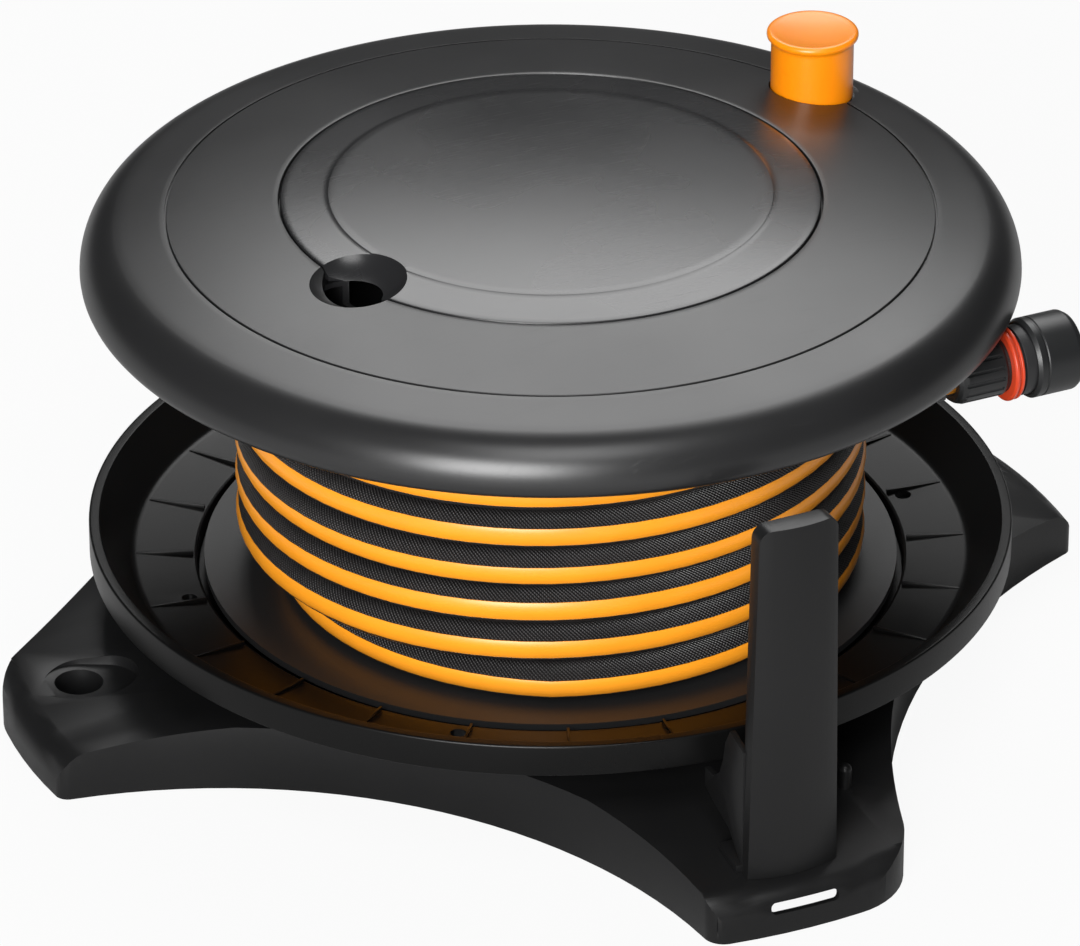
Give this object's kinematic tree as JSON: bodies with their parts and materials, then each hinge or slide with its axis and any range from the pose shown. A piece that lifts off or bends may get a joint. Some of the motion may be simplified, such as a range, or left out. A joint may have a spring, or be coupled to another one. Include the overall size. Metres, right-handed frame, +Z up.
{
  "type": "garden hose reel",
  "caption": "Flat-lying garden hose reel: lidded drum wound with striped hose, turning on a star-shaped stand with a tray, guide post and crank knob.",
  "frame": {"origin": "on the floor under the middle of the stand, on the drum's axis", "axes": "+Z up along the drum's axis; -Y towards the leg with the guide post"},
  "size_m": [0.49, 0.508, 0.2424],
  "materials": {
    "black_plastic": "fine satin moulded",
    "lid_plastic": "fine satin moulded",
    "gloss_black": "semi-gloss",
    "grey_plastic": "satin",
    "orange_plastic": "semi-gloss",
    "orange_rubber": "semi-gloss",
    "connector_black": "soft satin",
    "steel": "zinc-plated",
    "nylon": "natural",
    "rubber": "matt",
    "hose_black": "fine-ribbed, with one orange stripe"
  },
  "bodies": {
    "base": {"base_stand": "black_plastic", "tray": "black_plastic", "tray_screws": "steel", "hose_guide_post": "black_plastic", "guide_screws": "steel", "spindle": "nylon", "spindle_screws": "steel", "inlet_pipe": "nylon", "inlet_nipple": "orange_plastic", "inlet_seal": "rubber", "thrust_washer": "nylon", "swivel_seals": "rubber", "drum_retainer": "steel", "retainer_screw": "steel"},
    "reel": {"drum": "black_plastic", "lower_bush": "nylon", "upper_bush": "nylon", "swivel_housing": "grey_plastic", "swivel_screws": "steel", "outlet_elbow": "grey_plastic", "hose_clip": "steel", "lid_ring": "lid_plastic", "lid_screws": "steel", "storage_bin": "grey_plastic", "knob_axle": "steel", "knob_nut": "steel", "knob_screw": "steel", "hose_core": "hose_black", "hose_winding": "hose_black", "hose_tail": "hose_black", "connector_nut": "connector_black", "connector_collar": "orange_rubber", "connector_body": "grey_plastic"},
    "knob": {"knob_grip": "orange_plastic", "knob_cap": "orange_plastic"},
    "cover": {"storage_cover": "gloss_black"},
    "release_sleeve": {"connector_sleeve": "connector_black"}
  },
  "joints": [
    {"name": "reel_turn", "type": "hinge", "parent": "base", "child": "reel", "pos_m": [0, 0, 0.07], "axis": [0, 0, 1], "continuous": true},
    {"name": "knob_spin", "type": "hinge", "parent": "reel", "child": "knob", "pos_m": [0.15082, 0.05341, 0.218], "axis": [0, 0, 1], "continuous": true},
    {"name": "cover_lift", "type": "slide", "parent": "reel", "child": "cover", "axis": [0, 0, 1], "range_m": [0, 0.06]},
    {"name": "sleeve_release", "type": "slide", "parent": "reel", "child": "release_sleeve", "axis": [-1, 0, 0], "range_m": [0, 0.004], "stiffness_N_per_m": 800, "springref_m": -0.004}
  ]
}
